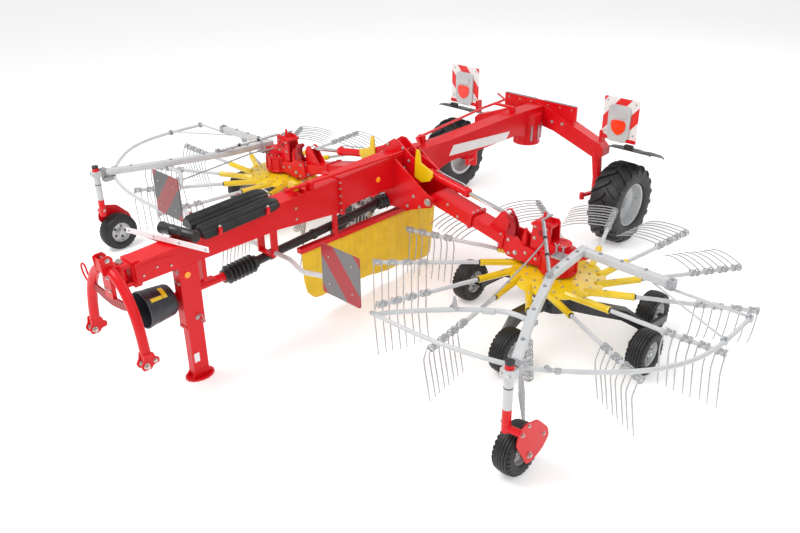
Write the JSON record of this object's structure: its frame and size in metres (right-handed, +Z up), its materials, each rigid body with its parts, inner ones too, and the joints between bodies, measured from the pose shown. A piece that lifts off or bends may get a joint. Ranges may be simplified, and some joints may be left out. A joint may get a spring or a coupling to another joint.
{
  "type": "twin rotor hay rake",
  "caption": "Trailed centre-swath rake: two folding telescopic booms carry rotors with tine arms, wheeled undercarriages and guard hoops; steered rear axle, headstock, jack and swath curtain.",
  "frame": {"origin": "on the ground under the middle of the machine in its parked working pose", "axes": "+X to the machine's left-hand side, +Y towards its rear, +Z up"},
  "size_m": [7.1872, 5.965, 1.5925],
  "materials": {
    "red_paint": "glossy",
    "yellow_paint": "satin",
    "white_coating": "satin",
    "black_plastic": "matt",
    "black_paint": "satin",
    "tyre_rubber": "matt",
    "curtain_sheet": "matt",
    "rim_grey": "satin",
    "chromed_rod": "polished"
  },
  "bodies": {
    "frame": {"front_beam": "red_paint", "centre_frame": "red_paint", "rear_beam": "red_paint", "axle_beam": "red_paint", "jack_sleeve": "red_paint", "drive_shaft": "black_plastic", "pto_guard": "black_plastic", "centre_gearbox": "red_paint", "curtain_rail": "red_paint", "swath_curtain": "curtain_sheet", "reflector_bar": "white_coating", "tine_guard_stack": "black_plastic", "tool_tube": "black_plastic", "steering_rod": "red_paint", "transport_hook_left": "yellow_paint", "front_warning_panel_left": "red_paint", "rear_light_panel_left": "red_paint", "mudguard_left": "black_plastic", "transport_hook_right": "yellow_paint", "front_warning_panel_right": "red_paint", "rear_light_panel_right": "red_paint", "mudguard_right": "black_plastic"},
    "headstock": {"headstock": "red_paint"},
    "jack_leg": {"jack_leg": "red_paint"},
    "knuckle_left": {"steering_knuckle_left": "red_paint"},
    "rear_wheel_left": {"rear_tyre_left": "tyre_rubber", "rear_rim_left": "rim_grey"},
    "boom_left": {"boom_box_left": "red_paint"},
    "rotor_carrier_left": {"boom_extension_left": "red_paint", "rotor_head_left": "red_paint", "rotor_chassis_left": "black_paint", "guard_frame_left": "white_coating", "sensing_post_left": "red_paint"},
    "lift_barrel_left": {"lift_barrel_left": "red_paint"},
    "lift_rod_left": {"lift_rod_left": "chromed_rod"},
    "rotor_left": {"rotor_left": "yellow_paint"},
    "sensing_wheel_left": {"sensing_wheel_left": "tyre_rubber"},
    "rotor_wheel_front_left": {"rotor_wheel_front_left": "tyre_rubber"},
    "rotor_wheel_outer_front_left": {"rotor_wheel_outer_front_left": "tyre_rubber"},
    "rotor_wheel_outer_rear_left": {"rotor_wheel_outer_rear_left": "tyre_rubber"},
    "rotor_wheel_inner_front_left": {"rotor_wheel_inner_front_left": "tyre_rubber"},
    "rotor_wheel_inner_rear_left": {"rotor_wheel_inner_rear_left": "tyre_rubber"},
    "knuckle_right": {"steering_knuckle_right": "red_paint"},
    "rear_wheel_right": {"rear_tyre_right": "tyre_rubber", "rear_rim_right": "rim_grey"},
    "boom_right": {"boom_box_right": "red_paint"},
    "rotor_carrier_right": {"boom_extension_right": "red_paint", "rotor_head_right": "red_paint", "rotor_chassis_right": "black_paint", "guard_frame_right": "white_coating", "sensing_post_right": "red_paint"},
    "lift_barrel_right": {"lift_barrel_right": "red_paint"},
    "lift_rod_right": {"lift_rod_right": "chromed_rod"},
    "rotor_right": {"rotor_right": "yellow_paint"},
    "sensing_wheel_right": {"sensing_wheel_right": "tyre_rubber"},
    "rotor_wheel_front_right": {"rotor_wheel_front_right": "tyre_rubber"},
    "rotor_wheel_outer_front_right": {"rotor_wheel_outer_front_right": "tyre_rubber"},
    "rotor_wheel_outer_rear_right": {"rotor_wheel_outer_rear_right": "tyre_rubber"},
    "rotor_wheel_inner_front_right": {"rotor_wheel_inner_front_right": "tyre_rubber"},
    "rotor_wheel_inner_rear_right": {"rotor_wheel_inner_rear_right": "tyre_rubber"}
  },
  "joints": [
    {"name": "headstock_yaw", "type": "hinge", "parent": "frame", "child": "headstock", "pos_m": [0, -2.77, 1.15], "axis": [0, 0, 1], "range_deg": [-50, 50]},
    {"name": "jack_slide", "type": "slide", "parent": "frame", "child": "jack_leg", "axis": [0, 0, 1], "range_m": [0, 0.4]},
    {"name": "steer_left", "type": "hinge", "parent": "frame", "child": "knuckle_left", "pos_m": [0.89, 2.57, 0.45], "axis": [0, 0, 1], "range_deg": [-27, 27]},
    {"name": "rear_wheel_spin_left", "type": "hinge", "parent": "knuckle_left", "child": "rear_wheel_left", "pos_m": [1.21, 2.57, 0.45], "axis": [1, 0, 0], "continuous": true},
    {"name": "boom_fold_left", "type": "hinge", "parent": "frame", "child": "boom_left", "pos_m": [0.55, 0.292, 1.01], "axis": [0, -1, 0], "range_deg": [0, 90]},
    {"name": "boom_telescope_left", "type": "slide", "parent": "boom_left", "child": "rotor_carrier_left", "axis": [0.9774, 0, -0.2113], "range_m": [-0.1, 0.22]},
    {"name": "lift_barrel_pivot_left", "type": "hinge", "parent": "frame", "child": "lift_barrel_left", "pos_m": [0.4, 0.292, 1.215], "axis": [0, -1, 0], "range_deg": [-2, 95]},
    {"name": "lift_rod_slide_left", "type": "slide", "parent": "lift_barrel_left", "child": "lift_rod_left", "axis": [0.9865, 0, -0.1635], "range_m": [-0.362, 0.01]},
    {"name": "rotor_spin_left", "type": "hinge", "parent": "rotor_carrier_left", "child": "rotor_left", "pos_m": [1.905, 0.292, 0.64], "axis": [0, 0, 1], "continuous": true},
    {"name": "sensing_wheel_spin_left", "type": "hinge", "parent": "rotor_carrier_left", "child": "sensing_wheel_left", "pos_m": [2.742, -1.401, 0.203], "axis": [1, 0, 0], "continuous": true},
    {"name": "rotor_wheel_front_left_spin", "type": "hinge", "parent": "rotor_carrier_left", "child": "rotor_wheel_front_left", "pos_m": [1.935, -0.418, 0.203], "axis": [1, 0, 0], "continuous": true},
    {"name": "rotor_wheel_outer_front_left_spin", "type": "hinge", "parent": "rotor_carrier_left", "child": "rotor_wheel_outer_front_left", "pos_m": [2.777, 0.346, 0.203], "axis": [1, 0, 0], "continuous": true},
    {"name": "rotor_wheel_outer_rear_left_spin", "type": "hinge", "parent": "rotor_carrier_left", "child": "rotor_wheel_outer_rear_left", "pos_m": [2.5, 0.992, 0.203], "axis": [1, 0, 0], "continuous": true},
    {"name": "rotor_wheel_inner_front_left_spin", "type": "hinge", "parent": "rotor_carrier_left", "child": "rotor_wheel_inner_front_left", "pos_m": [0.885, 0.352, 0.203], "axis": [1, 0, 0], "continuous": true},
    {"name": "rotor_wheel_inner_rear_left_spin", "type": "hinge", "parent": "rotor_carrier_left", "child": "rotor_wheel_inner_rear_left", "pos_m": [1.31, 0.992, 0.203], "axis": [1, 0, 0], "continuous": true},
    {"name": "steer_right", "type": "hinge", "parent": "frame", "child": "knuckle_right", "pos_m": [-0.89, 2.57, 0.45], "axis": [0, 0, 1], "range_deg": [-27, 27]},
    {"name": "rear_wheel_spin_right", "type": "hinge", "parent": "knuckle_right", "child": "rear_wheel_right", "pos_m": [-1.21, 2.57, 0.45], "axis": [1, 0, 0], "continuous": true},
    {"name": "boom_fold_right", "type": "hinge", "parent": "frame", "child": "boom_right", "pos_m": [-0.55, 0.292, 1.01], "axis": [0, 1, 0], "range_deg": [0, 90]},
    {"name": "boom_telescope_right", "type": "slide", "parent": "boom_right", "child": "rotor_carrier_right", "axis": [-0.9774, 0, -0.2113], "range_m": [-0.1, 0.22]},
    {"name": "lift_barrel_pivot_right", "type": "hinge", "parent": "frame", "child": "lift_barrel_right", "pos_m": [-0.4, 0.292, 1.215], "axis": [0, 1, 0], "range_deg": [-2, 95]},
    {"name": "lift_rod_slide_right", "type": "slide", "parent": "lift_barrel_right", "child": "lift_rod_right", "axis": [-0.9865, 0, -0.1635], "range_m": [-0.362, 0.01]},
    {"name": "rotor_spin_right", "type": "hinge", "parent": "rotor_carrier_right", "child": "rotor_right", "pos_m": [-1.905, 0.292, 0.64], "axis": [0, 0, 1], "continuous": true},
    {"name": "sensing_wheel_spin_right", "type": "hinge", "parent": "rotor_carrier_right", "child": "sensing_wheel_right", "pos_m": [-2.742, -1.401, 0.203], "axis": [1, 0, 0], "continuous": true},
    {"name": "rotor_wheel_front_right_spin", "type": "hinge", "parent": "rotor_carrier_right", "child": "rotor_wheel_front_right", "pos_m": [-1.935, -0.418, 0.203], "axis": [1, 0, 0], "continuous": true},
    {"name": "rotor_wheel_outer_front_right_spin", "type": "hinge", "parent": "rotor_carrier_right", "child": "rotor_wheel_outer_front_right", "pos_m": [-2.777, 0.346, 0.203], "axis": [1, 0, 0], "continuous": true},
    {"name": "rotor_wheel_outer_rear_right_spin", "type": "hinge", "parent": "rotor_carrier_right", "child": "rotor_wheel_outer_rear_right", "pos_m": [-2.5, 0.992, 0.203], "axis": [1, 0, 0], "continuous": true},
    {"name": "rotor_wheel_inner_front_right_spin", "type": "hinge", "parent": "rotor_carrier_right", "child": "rotor_wheel_inner_front_right", "pos_m": [-0.885, 0.352, 0.203], "axis": [1, 0, 0], "continuous": true},
    {"name": "rotor_wheel_inner_rear_right_spin", "type": "hinge", "parent": "rotor_carrier_right", "child": "rotor_wheel_inner_rear_right", "pos_m": [-1.31, 0.992, 0.203], "axis": [1, 0, 0], "continuous": true}
  ],
  "couplings": [
    {"joint": "steer_left", "follows": "headstock_yaw", "ratio": -0.45},
    {"joint": "lift_barrel_pivot_left", "follows": "boom_fold_left", "ratio": 0.9959},
    {"joint": "lift_rod_slide_left", "follows": "boom_fold_left", "m_per_rad": -0.2287},
    {"joint": "steer_right", "follows": "headstock_yaw", "ratio": -0.45},
    {"joint": "lift_barrel_pivot_right", "follows": "boom_fold_right", "ratio": 0.9959},
    {"joint": "lift_rod_slide_right", "follows": "boom_fold_right", "m_per_rad": -0.2287}
  ]
}
